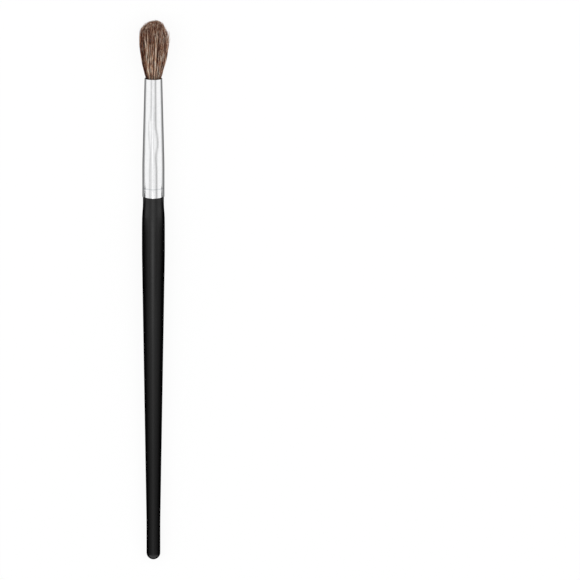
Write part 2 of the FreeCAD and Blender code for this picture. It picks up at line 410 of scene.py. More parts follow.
@dataclass(frozen=True)
class PolishedAluminium(Finish):
    """Aluminium tube, drawn through a die and polished bright.

    It mirrors what is round it, softened by fine draw lines along the tube and by a faint haze that the polishing
    left, and a painted line of shade greys the crimp's groove. The draw lines are drawn some five times as coarse as
    real ones, because those would be too fine to show.

    Attributes:
        girth: of the tube.
        crimp_height: of the crimp above the tail's tip.
        tones: of the metal, from hazy to bright.
        smooth_roughness: between the draw lines.
        lined_roughness: on them.
        line_width: of a draw line.
        line_length: of a draw line.
        line_depth: of a draw line.
        haze_width: of a patch of haze.
        haze_skew: angle of the patches to the tube, in radians.
        crimp_width: half of the width of the painted shade line in the crimp's groove.
        crimp_painted_shade: the metal's tone under that painted shade line.
    """

    name: str = "drawn_and_polished_aluminium"
    girth: float = 22.0
    crimp_height: float = 0.0
    tones: Stops = ((0.3, "#F3F4F5"), (0.6, "#F8F8F9"))
    smooth_roughness: float = 0.12
    lined_roughness: float = 0.19
    line_width: float = 0.16
    line_length: float = 14.0
    line_depth: float = 0.0008
    haze_width: float = 1.75
    haze_skew: float = 0.6
    crimp_width: float = 0.22
    # Painted shade: a greyer tone for the metal along the crimp's groove.
    crimp_painted_shade: str = "#E0E2E4"

    def surface(self, tree: bpy.types.NodeTree) -> dict[str, Any]:
        """Adds the draw lines, the haze and the greyed crimp.

        Args:
            tree: the material's node tree.

        Returns:
            The surface's inputs.
        """
        place = add_node(tree, "UVMap", {}, uv_map=AROUND_ALONG)
        drawn = {"Vector": place, "Scale": (self.girth / self.line_width, 1 / self.line_length, 1.0)}
        lines = {"Vector": add_node(tree, "Mapping", drawn), "Scale": 1.0, "Detail": 3.0}
        lines = add_node(tree, "TexNoise", lines, noise_dimensions="2D")
        askew = {"Vector": place, "Scale": (self.girth / self.haze_width, 1 / self.haze_width, 1.0)}
        askew["Rotation"] = (0.0, 0.0, self.haze_skew)
        haze = {"Vector": add_node(tree, "Mapping", askew), "Scale": 1.0, "Detail": 5.0, "Roughness": 0.7}
        haze = add_node(tree, "TexNoise", haze, noise_dimensions="2D")
        metal = add_node(tree, "ValToRGB", {"Fac": haze}, self.tones)
        # A painted line of shade along the crimp's groove, crimp_width to each side of crimp_height.
        above = add_node(tree, "SeparateXYZ", {"Vector": place}).outputs["Y"]
        crimp = {0: above, 1: self.crimp_height, 2: self.crimp_width}
        crimp = add_node(tree, "Math", crimp, operation="COMPARE")
        painted_shade_mix = {0: crimp, 6: metal, 7: linear(self.crimp_painted_shade)}
        rough = {"Value": lines, **NOISE_SPAN, "To Min": self.smooth_roughness, "To Max": self.lined_roughness}
        raised = {"Height": lines, "Strength": 0.3, "Distance": self.line_depth * MM}
        return {
            "Base Color": add_node(tree, "Mix", painted_shade_mix, data_type="RGBA").outputs[2],
            "Metallic": 1.0,
            "Roughness": add_node(tree, "MapRange", rough),
            "Normal": add_node(tree, "Bump", raised),
        }


@dataclass(frozen=True)
class NaturalHair(Finish):
    """Undyed animal hair, washed and combed.

    Dark brown hairs lie beside red-brown and cream ones, each with a soft shine. The colour is read from the strand's
    tone and from how far along it a place is, so that the same strand is the same colour from any side.

    Attributes:
        tones: from the darkest hair to the palest.
        tip_tone: towards which the tips fade.
        tip_fade: how far they fade, along the strand.
        root_shade: how much darker the roots are, along the strand.
        shine: strength of the gloss.
    """

    name: str = "natural_brown_hair"
    tones: Stops = (
        (0.0, "#26110A"),
        (0.25, "#643422"),
        (0.45, "#A66E50"),
        (0.62, "#CA9D7E"),
        (0.8, "#E8C9AE"),
        (1.0, "#FAEBD9"),
    )
    tip_tone: str = "#8A563F"
    tip_fade: Stops = ((0.4, "#000000"), (0.9, "#6A6A6A"))
    root_shade: Stops = ((0.0, "#A09890"), (0.15, WHITE))
    roughness: float = 0.42
    ior: float = 1.55
    shine: float = 0.28

    def surface(self, tree: bpy.types.NodeTree) -> dict[str, Any]:
        """Adds the strands' tones.

        Args:
            tree: the material's node tree.

        Returns:
            The surface's inputs.
        """
        place = add_node(tree, "UVMap", {}, uv_map=TONE_ALONG)
        place = add_node(tree, "SeparateXYZ", {"Vector": place})
        tone, along = ({"Fac": place.outputs[part]} for part in "XY")
        tone = add_node(tree, "ValToRGB", tone, self.tones)
        fade = add_node(tree, "ValToRGB", along, self.tip_fade)
        shade = add_node(tree, "ValToRGB", along, self.root_shade)
        faded = {0: fade, 6: tone, 7: linear(self.tip_tone)}
        faded = add_node(tree, "Mix", faded, data_type="RGBA").outputs[2]
        shaded = {0: 1.0, 6: faded, 7: shade}
        shaded = add_node(tree, "Mix", shaded, data_type="RGBA", blend_type="MULTIPLY").outputs[2]
        gloss = {"Roughness": self.roughness, "IOR": self.ior, "Specular IOR Level": self.shine}
        return {"Base Color": shaded, **gloss}


@dataclass(frozen=True)
class SetMass(Finish):
    """A mass that was poured or spread wet and then set hard, such as resin or glue.

    Cured epoxy is clear amber and glossy, with cloudy stretches. Dried wood glue is dull and cream, and a little lumpy.

    Attributes:
        thin: colour where it is thin.
        thick: colour where it is thick.
        clouds: width of the cloudy stretches.
        lumps: height of the surface's lumps.
    """

    thin: str
    thick: str
    roughness: float
    ior: float
    clouds: float
    lumps: float

    def surface(self, tree: bpy.types.NodeTree) -> dict[str, Any]:
        """Adds the clouds and the lumps.

        Args:
            tree: the material's node tree.

        Returns:
            The surface's inputs.
        """
        place = add_node(tree, "TexCoord", {}).outputs["Object"]
        cloud = {"Vector": place, "Scale": 1 / (self.clouds * MM), "Detail": 4.0}
        cloud = add_node(tree, "TexNoise", cloud)
        raised = {"Height": cloud, "Strength": 0.4, "Distance": self.lumps * MM}
        return {
            "Base Color": add_node(tree, "ValToRGB", {"Fac": cloud}, ((0.35, self.thin), (0.7, self.thick))),
            "Roughness": self.roughness,
            "IOR": self.ior,
            "Normal": add_node(tree, "Bump", raised),
        }


RESIN = SetMass("cured_epoxy_resin", "#C79A58", "#8E6430", roughness=0.12, ior=1.55, clouds=1.6, lumps=0.02)
GLUE = SetMass("dried_wood_glue", "#E2D8BA", "#BCAE88", roughness=0.6, ior=1.48, clouds=0.6, lumps=0.03)


@dataclass(frozen=True)
class CottonThread(Finish):
    """Unbleached two-ply cotton, dull and slightly fuzzy, with fine fibres that are drawn twice as coarse as real ones.

    Attributes:
        tones: from the painted shade between the fibres to the top of them.
        sheen: strength of the fuzz.
        fibre_width: of a fibre.
        fibre_depth: of the gaps between fibres.
    """

    name: str = "unbleached_cotton_thread"
    # The darker stop is painted shade between the fibres.
    tones: Stops = ((0.3, "#B5A98F"), (0.65, "#D9D1BF"))
    roughness: float = 0.85
    sheen: float = 0.3
    fibre_width: float = 0.03
    fibre_depth: float = 0.008

    def surface(self, tree: bpy.types.NodeTree) -> dict[str, Any]:
        """Adds the fibres.

        Args:
            tree: the material's node tree.

        Returns:
            The surface's inputs.
        """
        place = add_node(tree, "TexCoord", {}).outputs["Object"]
        fibre = {"Vector": place, "Scale": 1 / (self.fibre_width * MM), "Detail": 3.0}
        fibre = add_node(tree, "TexNoise", fibre)
        raised = {"Height": fibre, "Strength": 0.5, "Distance": self.fibre_depth * MM}
        return {
            # Painted shade: the colour darkens where the fibres' bump is low.
            "Base Color": add_node(tree, "ValToRGB", {"Fac": fibre}, self.tones),
            "Roughness": self.roughness,
            "Sheen Weight": self.sheen,
            "Normal": add_node(tree, "Bump", raised),
        }


@dataclass
class Ferrule:
    """The drawn tube, with its turned-in lower edge, rolled crimp, long taper and slightly uneven wall.

    Attributes:
        axis: the brush's line.
        node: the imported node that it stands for.
        wall: thickness of the wall.
        straight: length of the straight tube.
        blend: length over which the straight turns into the taper.
        curl: radius of the turned-in lower edge.
        lip: radius of the mouth's edge.
        crimp_height: height of the crimp above the lower edge.
        crimp_width: half of the crimp's width, where it is about a third as deep.
        crimp_depth: depth of the crimp.
        dent_depth: depth of the dents in the taper, every other one of which is pressed out and not in.
        dent_heights: heights of the dents above the lower edge.
        dent_bearings: bearings of the dents from the underside, in turns.
        dent_length: half of a dent's length.
        dent_width: half of a dent's width, in turns.
        sides: flat sides round the tube.
        rows: rows of points along the outside.
        inner_rows: rows of points along the bore.
        edge_steps: flat steps in the round of an edge.
        bottom: height of the lower edge above the tail's tip.
        mouth: height of the mouth above the tail's tip.
        foot_radius: outside radius of the straight tube.
        mouth_radius: outside radius at the mouth.
    """

    axis: BrushAxis
    node: bpy.types.Object
    wall: float = 0.35
    straight: float = 10.6
    blend: float = 4.0
    curl: float = 0.18
    lip: float = 0.1
    crimp_height: float = 3.0
    crimp_width: float = 0.36
    crimp_depth: float = 0.012
    dent_depth: float = 0.035
    dent_heights: tuple[float, ...] = (14.5, 19.0, 24.5, 27.5)
    dent_bearings: tuple[float, ...] = (0.44, 0.53, 0.47, 0.55)
    dent_length: float = 2.6
    dent_width: float = 0.055
    sides: int = 112
    rows: int = 190
    inner_rows: int = 23
    edge_steps: int = 6
    bottom: float = field(init=False)
    mouth: float = field(init=False)
    foot_radius: float = field(init=False)
    mouth_radius: float = field(init=False)

    def __post_init__(self) -> None:
        """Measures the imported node."""
        heights, outs = self.axis.measure(self.node)
        self.bottom, self.mouth = float(heights.min()), float(heights.max())
        self.foot_radius = float(outs.max())
        self.mouth_radius = float(outs[heights > self.mouth - 2 * self.lip].max())

    def build(self) -> bpy.types.Object:
        """Builds the tube.

        Returns:
            The tube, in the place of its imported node.
        """
        length = self.mouth - self.bottom
        outer = np.linspace(self.curl, length - self.lip, self.rows)
        inner = np.linspace(length, 0, self.inner_rows)
        turn = np.linspace(0, QUARTER_TURN, self.edge_steps + 1)[1:-1]
        rise, fall = 1 - np.sin(turn), 1 - np.cos(turn)
        stretches = (
            (outer, self.outside(outer)),
            (length - self.lip * rise, self.outside(length) - self.lip * fall),
            (inner, self.outside(inner) - self.wall),
            (self.curl * fall, self.foot_radius - self.curl * rise),
        )
        profile = np.concatenate([np.stack(stretch, axis=1) for stretch in stretches])
        profile[:, 0] += self.bottom
        piece = self.turn(profile)
        set_in_place(piece, "ferrule")
        return piece

    def turn(self, profile: np.ndarray) -> bpy.types.Object:
        """Turns a closed profile about the brush's line, and dents it.

        Args:
            profile: rows of height above the tail's tip and radius, in order round the profile.

        Returns:
            The piece, with a UV map of its bearing in turns and its height in millimetres.
        """
        rows = len(profile)
        bearings = FULL_TURN * np.arange(self.sides) / self.sides
        heights = np.repeat(profile[:, :1], self.sides, axis=1)
        outs = profile[:, 1:] + self.dents(heights, bearings)
        points = self.axis.points(heights, outs * np.cos(bearings), outs * np.sin(bearings))
        faces, _, row, column = grid_faces(1, rows, self.sides, round_rows=True)
        after = (row + 1) % rows
        turns = np.stack([column, column + 1, column + 1, column], axis=1) / self.sides
        places = profile[:, 0][np.stack([row, row, after, after], axis=1)]
        return add_piece("ferrule_tube", points, [faces], AROUND_ALONG, [np.stack([turns, places], axis=2)])

    def outside(self, above: np.ndarray | float) -> np.ndarray:
        """Finds the outside radius, without dents.

        Args:
            above: heights above the lower edge.

        Returns:
            Radii in millimetres.
        """
        slope = (self.foot_radius - self.mouth_radius) / (self.mouth - self.bottom - self.straight)
        past = np.clip((above - self.straight) / self.blend + 1 / 2, 0, None)
        eased = np.where(past < 1, past**2 / 2, past - 1 / 2) * self.blend
        crimp = np.exp(-(((above - self.crimp_height) / self.crimp_width) ** 2))
        return self.foot_radius - slope * eased - self.crimp_depth * crimp

    def dents(self, heights: np.ndarray, bearings: np.ndarray) -> np.ndarray:
        """Finds the change of radius from the tube's shallow dents.

        Args:
            heights: above the tail's tip.
            bearings: from the underside, in radians.

        Returns:
            Millimetres, below zero in a dent and above it in a bulge.
        """
        change = np.zeros_like(heights)
        for number, (height, bearing) in enumerate(zip(self.dent_heights, self.dent_bearings)):
            along = (heights - self.bottom - height) / self.dent_length
            around = (bearings / FULL_TURN - bearing) / self.dent_width
            change += np.exp(-(along**2) - around**2) * (-1 if number % 2 else 1)
        return change * self.dent_depth

    def dress(self, piece: bpy.types.Object) -> None:
        """Gives the tube its metal."""
        crimp = self.bottom + self.crimp_height
        wear(piece, PolishedAluminium(girth=FULL_TURN * self.foot_radius, crimp_height=crimp).make())


class LockRing(Enum):
    """The rings of hair locks, each with its number, its piece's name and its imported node."""

    CENTRE = (0, "hair_centre", "hair_lock_centre")
    INNER = (1, "hair_inner", "hair_locks_inner")
    MIDDLE = (2, "hair_middle", "hair_locks_middle")
    OUTER = (3, "hair_outer", "hair_locks_outer")


class HairTone(Enum):
    """The kinds of hair in the blend, each with its share of the wisps and its lowest and highest tone."""

    DARK = (0.51, 0.0, 0.22)
    BROWN = (0.18, 0.32, 0.6)
    CREAM = (0.31, 0.78, 0.99)


@dataclass
class Tuft:
    """The hair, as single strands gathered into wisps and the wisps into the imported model's locks.

    Real hair is finer and there is more of it, so each strand stands for a few hairs. A place across the bundle is a
    share of the bundle's radius, so that it spreads and closes with the bundle, and so are a wave, a stray and a
    scatter of places.

    Attributes:
        axis: the brush's line.
        mouth: height of the ferrule's mouth above the tail's tip.
        length: from the mouth to the crown.
        mouth_radius: of the bundle at the mouth.
        tie_radius: of the bundle where the thread ties it.
        belly_radius: of the bundle at its widest.
        belly_height: of the widest place above the mouth.
        root_depth: of hair below the mouth.
        tie_depth: of the thread's last turn below the mouth.
        flare_power: how late the bundle opens between the mouth and the belly.
        closing_share: how much of that opening it loses between the belly and the crown.
        lean_share: how far it leans to one side, per millimetre of height.
        crown_drop: how far the hair at the edge ends below the crown.
        crown_power: how flat the crown is.
        crown_shift_share: how far the middle of the dome stands to one side.
        crown_tilt: how much higher the dome's edge is on the other side.
        lock_rings: rings of locks round the middle one.
        locks_per_step: how many more locks, or wisps in a lock, each ring has than the one inside it.
        lock_twist: degrees by which each ring of locks is turned from the one inside it.
        lock_uneven: lowest and highest change of a lock's height.
        lock_pull_share: how far a lock's wisps draw together at their tips.
        lock_tone_spread: of tone between locks.
        wisp_rings: rings of wisps round a lock's middle one.
        wisp_radius_share: of a wisp.
        wisp_scatter_share: of wisps from their even places in the lock.
        wisp_pull_share: how far a wisp's strands draw together at their tips.
        wisp_wave_share: of a wave that a wisp's strands share.
        wisp_wave_length: shortest and longest.
        wisp_stray_share: of a wisp's tip from its place.
        wisp_short_mean: how far a wisp ends short of the dome, on average.
        sunk_share: how far the most sunken wisp lies inside its place.
        band_share: of a strand's tone, by which it changes along the strand.
        band_length: shortest and longest, of such a change and back.
        strands_per_wisp: number of strands.
        strand_radius: of a strand.
        strand_radius_shares: the thinnest and the thickest strand's share of it.
        strand_tip_share: of its radius that a strand has at its tip.
        strand_taper: how steeply it thins towards the tip.
        strand_sides: flat sides round a strand.
        stations: rows of points on a strand, above the mouth.
        strand_wave_share: of a wave that a strand has of its own.
        strand_wave_length: shortest and longest.
        strand_stray_share: of a strand's tip from its place.
        strand_short_mean: how far a strand ends short of its wisp, on average.
        strand_tone_spread: of tone within a wisp.
        short_most: how far a strand ends short of the dome at most.
        flick_share: of the strands, whose tips flick out.
        flick_reach_share: how far the widest flick goes.
        tone_range: lowest and highest tone.
        table_gap: between the table and the lowest strand.
        map_column: width of a strand on its UV map.
        map_range: lowest and highest place of its sides along it.
        map_step: least length of a face of its sides.
        map_ends: places of its root's face and its tip's face.
        seed: of the chances.
    """

    axis: BrushAxis
    mouth: float
    length: float = 18.75
    mouth_radius: float = 2.4
    tie_radius: float = 2.08
    belly_radius: float = 4.8
    belly_height: float = 13.3
    root_depth: float = 12.0
    tie_depth: float = 5.3
    flare_power: float = 0.9
    closing_share: float = 0.28
    lean_share: float = 0.022
    crown_drop: float = 4.6
    crown_power: float = 3.5
    crown_shift_share: float = -0.14
    crown_tilt: float = 0.8
    lock_rings: int = 3
    locks_per_step: int = 6
    lock_twist: float = 30.0
    lock_uneven: Pair = (-0.15, 0.045)
    lock_pull_share: float = 0.02
    lock_tone_spread: float = 0.06
    wisp_rings: int = 3
    wisp_radius_share: float = 0.024
    wisp_scatter_share: float = 0.008
    wisp_pull_share: float = 0.25
    wisp_wave_share: float = 0.036
    wisp_wave_length: Pair = (6.5, 13.0)
    wisp_stray_share: float = 0.06
    wisp_short_mean: float = 0.22
    sunk_share: float = 0.12
    band_share: float = 0.28
    band_length: Pair = (2.6, 6.0)
    strands_per_wisp: int = 4
    strand_radius: float = 0.031
    strand_radius_shares: Pair = (0.8, 1.25)
    strand_tip_share: float = 0.45
    strand_taper: float = 2.5
    strand_sides: int = 3
    stations: int = 11
    strand_wave_share: float = 0.016
    strand_wave_length: Pair = (6.5, 11.0)
    strand_stray_share: float = 0.018
    strand_short_mean: float = 0.16
    strand_tone_spread: float = 0.035
    short_most: float = 3.5
    flick_share: float = 0.18
    flick_reach_share: float = 0.09
    tone_range: Pair = (0.01, 0.99)
    table_gap: float = 0.04
    map_column: float = 0.012
    map_range: Pair = (0.004, 0.996)
    map_step: float = 0.002
    map_ends: Pair = (0.005, 0.985)
    seed: int = 57

    def bundle_radius(self, above: np.ndarray) -> np.ndarray:
        """Finds the bundle's radius.

        Args:
            above: heights above the mouth, which are negative inside the ferrule.

        Returns:
            Radii in millimetres.
        """
        inside = np.clip(-above / self.tie_depth, 0, 1)
        drawn_in = self.mouth_radius + (self.tie_radius - self.mouth_radius) * inside
        rise = np.clip(above / self.belly_height, 0, 1)
        past = np.clip((above - self.belly_height) / (self.length - self.belly_height), 0, None)
        opening = np.sin(QUARTER_TURN * rise) ** self.flare_power - self.closing_share * past**2
        return np.where(above < 0, drawn_in, self.mouth_radius + (self.belly_radius - self.mouth_radius) * opening)

    def build(self) -> list[bpy.types.Object]:
        """Builds one piece of hair for each ring of locks.

        Returns:
            The four pieces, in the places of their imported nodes.
        """
        pieces = []
        for ring in LockRing:
            number, name, node = ring.value
            piece = self.build_ring(number, name)
            set_in_place(piece, node)
            pieces.append(piece)
        return pieces

    def build_ring(self, ring: int, name: str) -> bpy.types.Object:
        """Builds the strands of one ring of locks.

        Args:
            ring: the ring's number, which is 0 in the middle.
            name: the piece's name.

        Returns:
            The piece.
        """
        rng = np.random.default_rng(self.seed + ring)
        locks, wisps, places, tones = self.spread(ring, rng)
        tips = self.tip_heights(places, rng)
        count, groups = len(places), len(places) // self.strands_per_wisp
        own, group = np.arange(count), np.arange(count) // self.strands_per_wisp
        within = np.repeat([[-self.root_depth, -self.tie_depth]], count, axis=0)
        above = np.concatenate([within, tips[:, None] * np.linspace(0, 1, self.stations)], axis=1)
        risen = np.clip(above / tips[:, None], 0, 1)[..., None]
        path = locks[:, None] + (wisps - locks)[:, None] * (1 - self.lock_pull_share * risen**2)
        path += (places - wisps)[:, None] * (1 - self.wisp_pull_share * risen * (2 - risen))
        waves = self.waves(above, self.wisp_wave_share, self.wisp_wave_length, group, rng)
        waves = waves + self.waves(above, self.strand_wave_share, self.strand_wave_length, own, rng)
        path += waves * risen
        path += rng.normal(0, self.wisp_stray_share, (groups, 1, 2))[group] * risen**2
        path += rng.normal(0, self.strand_stray_share, (count, 1, 2)) * risen**2
        path *= 1 - self.sunk_share * rng.random(groups)[group][:, None, None] * risen
        flick = (rng.random(count) < self.flick_share) * rng.random(count) * self.flick_reach_share
        path *= 1 + flick[:, None, None] * risen**3
        thick = self.strand_radius * rng.uniform(*self.strand_radius_shares, count)[:, None]
        thick = thick * np.minimum(1, self.strand_tip_share + (1 - risen[..., 0]) * self.strand_taper)
        bands = self.waves(above, self.band_share, self.band_length, group, rng)[..., 0]
        across = path * self.bundle_radius(above)[..., None]
        across[..., 1] -= self.lean_share * np.clip(above, 0, None)
        return self.skin(name, above, across, thick, np.clip(tones[:, None] + bands, *self.tone_range))

    def spread(self, ring: int, rng: np.random.Generator) -> tuple[np.ndarray, np.ndarray, np.ndarray, np.ndarray]:
        """Spreads strands over the locks of a ring.

        Args:
            ring: the ring's number.
            rng: the source of chance.

        Returns:
            For each strand, its lock's place, its wisp's place, its own place and its tone.
        """
        count = ring * self.locks_per_step or 1
        bearings = math.radians(self.lock_twist) * ring + FULL_TURN * np.arange(count) / count
        out = ring / (self.lock_rings + 1 / 2)
        locks = out * np.stack([np.cos(bearings), np.sin(bearings)], axis=1)
        spots = self.wisp_spots()
        turn = rng.uniform(0, FULL_TURN, count)[:, None] + spots[:, 1]
        turned = np.stack([np.cos(turn), np.sin(turn)], axis=2) * spots[:, :1]
        wisps = locks[:, None] + turned + rng.normal(0, self.wisp_scatter_share, turned.shape)
        wisps = np.repeat(wisps.reshape(-1, 2), self.strands_per_wisp, axis=0)
        tones = np.repeat(self.wisp_tones(count * len(spots), rng), self.strands_per_wisp)
        tones = tones + rng.normal(0, self.strand_tone_spread, len(wisps))
        bearings = rng.uniform(0, FULL_TURN, len(wisps))
        outs = np.sqrt(rng.random(len(wisps))) * self.wisp_radius_share
        places = wisps + np.stack([np.cos(bearings), np.sin(bearings)], axis=1) * outs[:, None]
        places = places / np.maximum(1, np.linalg.norm(places, axis=1))[:, None]
        per_lock = len(wisps) // count
        tones = tones + np.repeat(rng.normal(0, self.lock_tone_spread, count), per_lock)
        return np.repeat(locks, per_lock, axis=0), wisps, places, np.clip(tones, *self.tone_range)

    def wisp_spots(self) -> np.ndarray:
        """Finds the even places of the wisps in a lock.

        Returns:
            Rows of distance from the lock's middle and bearing.
        """
        lock_radius_share = 1 / (2 * self.lock_rings + 1)
        spots = [(0.0, 0.0)]
        for ring in range(1, self.wisp_rings + 1):
            count = ring * self.locks_per_step
            out = lock_radius_share * ring / (self.wisp_rings + 1 / 2)
            spots += [(out, FULL_TURN * (number + ring / 2) / count) for number in range(count)]
        return np.array(spots)

    def wisp_tones(self, count: int, rng: np.random.Generator) -> np.ndarray:
        """Draws a tone for each wisp from the blend of hairs.

        Args:
            count: number of wisps.
            rng: the source of chance.

        Returns:
            Tones from 0 to 1.
        """
        shares, lows, highs = np.array([tone.value for tone in HairTone]).T
        kinds = rng.choice(len(shares), count, p=shares / shares.sum())
        return rng.uniform(lows[kinds], highs[kinds])

    def tip_heights(self, places: np.ndarray, rng: np.random.Generator) -> np.ndarray:
        """Finds the heights above the mouth at which strands end, near a tilted dome.

        Args:
            places: the strands' places across the bundle.
            rng: the source of chance.

        Returns:
            Millimetres.
        """
        count, per_wisp = len(places), self.strands_per_wisp
        per_lock = len(self.wisp_spots()) * per_wisp
        from_top = np.linalg.norm(places + np.array((0.0, self.crown_shift_share)), axis=1)
        uneven = np.repeat(rng.uniform(*self.lock_uneven, count // per_lock), per_lock)
        short = np.repeat(rng.exponential(self.wisp_short_mean, count // per_wisp), per_wisp)
        short = np.minimum(short + rng.exponential(self.strand_short_mean, count), self.short_most)
        tilted = -self.crown_tilt * places[:, 1]
        return self.length - self.crown_drop * from_top**self.crown_power + tilted + uneven - short

    def waves(
        self, above: np.ndarray, size: float, lengths: Pair, group: np.ndarray, rng: np.random.Generator
    ) -> np.ndarray:
        """Draws waves along the strands.

        Args:
            above: heights above the mouth, strand by station.
            size: the waves' height.
            lengths: shortest and longest wave.
            group: the number of each strand's wave, in order.
            rng: the source of chance.

        Returns:
            The waves' size in two directions, strand by station by direction.
        """
        groups = group[-1] + 1
        length = rng.uniform(*lengths, groups)[group]
        start = rng.uniform(0, FULL_TURN, (groups, 2))[group]
        return size * np.sin(FULL_TURN * (above / length[:, None])[..., None] + start[:, None])

    def skin(
        self, name: str, above: np.ndarray, across: np.ndarray, thick: np.ndarray, tones: np.ndarray
    ) -> bpy.types.Object:
        """Makes tubes along the strands.

        Args:
            name: the piece's name.
            above: heights above the mouth, strand by station.
            across: millimetres down and to the side, strand by station.
            thick: the strands' radii, strand by station.
            tones: the strands' tones, strand by station.

        Returns:
            The piece, with a UV map of its tone and its place along the strand.
        """
        count, stations = above.shape
        sides = self.strand_sides
        corner = FULL_TURN * np.arange(sides) / sides
        downs = across[..., :1] + thick[..., None] * np.cos(corner)
        ways = across[..., 1:] + thick[..., None] * np.sin(corner)
        heights = np.repeat((self.mouth + above)[..., None], sides, axis=2)
        points = self.axis.points(heights, downs, ways)
        points[..., 2] = np.maximum(points[..., 2], self.table_gap * MM)
        walls, strand, station, side = grid_faces(count, stations, sides)
        roots, tips = end_faces(count, stations, sides)
        along = np.clip(above / above[:, -1:], *self.map_range)
        start = self.map_column * (side / sides - 1 / 2)
        end = start + self.map_column / sides
        near, far = along[strand, station], along[strand, station + 1]
        far = np.maximum(far, near + self.map_step)
        low, high = tones[strand, station], tones[strand, station + 1]
        corners = ((low + start, near), (low + end, near), (high + end, far), (high + start, far))
        maps = [np.stack([np.stack(pair, axis=1) for pair in corners], axis=1)]
        triangle = np.array(((-0.5, 0.0), (0.5, 0.0), (0.0, 0.5))) * self.map_column
        for row, place in zip((-1, 0), reversed(self.map_ends)):
            maps.append(np.stack([tones[:, row], np.full(count, place)], axis=1)[:, None] + triangle)
        return add_piece(name, points, [walls, tips, roots], TONE_ALONG, maps)

    def dress(self, pieces: Sequence[bpy.types.Object]) -> None:
        """Gives all the hair one material.

        Args:
            pieces: the four pieces of hair.
        """
        material = NaturalHair().make()
        for piece in pieces:
            wear(piece, material)


@dataclass
class Binding:
    """The thread round the roots, as two plies twisted together.

    Attributes:
        axis: the brush's line.
        node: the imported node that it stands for.
        turns: turns of thread round the roots.
        thickness: of the thread.
        plies: number of plies.
        ply_share: of the thread's radius, at which a ply's middle lies, and which is also the ply's radius.
        twist_length: length of thread in which the plies go once round each other.
        steps: stretches in one turn.
        sides: flat sides round a ply.
    """

    axis: BrushAxis
    node: bpy.types.Object
    turns: int = 4
    thickness: float = 0.3
    plies: int = 2
    ply_share: float = 0.5
    twist_length: float = 0.9
    steps: int = 72
    sides: int = 6

    def build(self) -> bpy.types.Object:
        """Builds the thread.

        Returns:
            The thread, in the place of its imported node.
        """
        heights, outs = self.axis.measure(self.node)
        radius = self.thickness / 2
        wound = float(outs.max()) - radius
        first, last = float(heights.min()) + radius, float(heights.max()) - radius
        turn = np.linspace(0, self.turns, self.turns * self.steps + 1)[:, None]
        bearing = FULL_TURN * turn
        lead = first + (last - first) * turn / self.turns
        twist = turn * FULL_TURN * wound / self.twist_length * FULL_TURN
        corner = FULL_TURN * np.arange(self.sides) / self.sides
        angle = twist + FULL_TURN * np.arange(self.plies)[:, None, None] / self.plies
        out = wound + radius * self.ply_share * (np.cos(angle) + np.cos(corner))
        up = lead + radius * self.ply_share * (np.sin(angle) + np.sin(corner))
        points = self.axis.points(up, out * np.cos(bearing), out * np.sin(bearing))
        walls = grid_faces(self.plies, len(turn), self.sides)[0]
        piece = add_piece("binding_thread_plies", points, [walls, *end_faces(self.plies, len(turn), self.sides)])
        set_in_place(piece, "binding_thread")
        return piece

    def dress(self, piece: bpy.types.Object) -> None:
        """Gives the thread its cotton."""
        wear(piece, CottonThread().make())


def stage_sheet(
    name: str, axis: BrushAxis, rows: Sequence[Sequence[Triple]], shares: Sequence[float]
) -> bpy.types.Object:
    """Makes a flat or curved sheet that belongs to the stage.

    Args:
        name: the sheet's name.
        axis: the brush's line.
        rows: along the sheet, the corners across it, each by its height above the tail's tip, its distance to the side
            and its height above the table.
        shares: a value for each row.

    Returns:
        The sheet, with a UV map that runs from -1 at one edge to 1 at the other, and by the rows' values along it.
    """
    corners = np.array((axis.tip[0], axis.tip[1], 0)) + np.array(rows) * MM
    count, wide = corners.shape[:2]
    faces = grid_faces(1, count, wide, round_columns=False)[0]
    across = np.tile(np.linspace(-1, 1, wide), count)[faces]
    along = np.repeat(np.array(shares), wide)[faces]
    sheet = add_piece(name, corners, [faces], ACROSS, [np.stack([across, along], axis=2)])
    return sheet


class RayKind(Enum):
    """The kinds of ray that may see a stage card."""

    GLOSSY = "visible_glossy"
    CAMERA = "visible_camera"
    DIFFUSE = "visible_diffuse"
    TRANSMISSION = "visible_transmission"
    VOLUME = "visible_volume_scatter"
    SHADOW = "visible_shadow"


@dataclass(frozen=True)
class Shade:
    """How bright a card is, where 1 is white.

    Attributes:
        level: brightness at its middle line.
        edge: brightness at its edges.
        even_share: of the way to an edge over which it has its middle's brightness.
    """

    level: float
    edge: float
    even_share: float = 0.0


@dataclass(frozen=True)
class Stripe:
    """A curved card that hangs over the brush and shows in it as a soft stripe along it.

    Attributes:
        name: the card's name.
        spread: degrees from its middle to its edge.
        shade: its brightness.
        path: for heights on the brush above the tail's tip, degrees from straight over the brush towards +Y, and the
            share of its brightness.
        distance: from the brush.
    """

    name: str
    spread: float
    shade: Shade
    path: tuple[Triple, ...]
    distance: float = 40.0


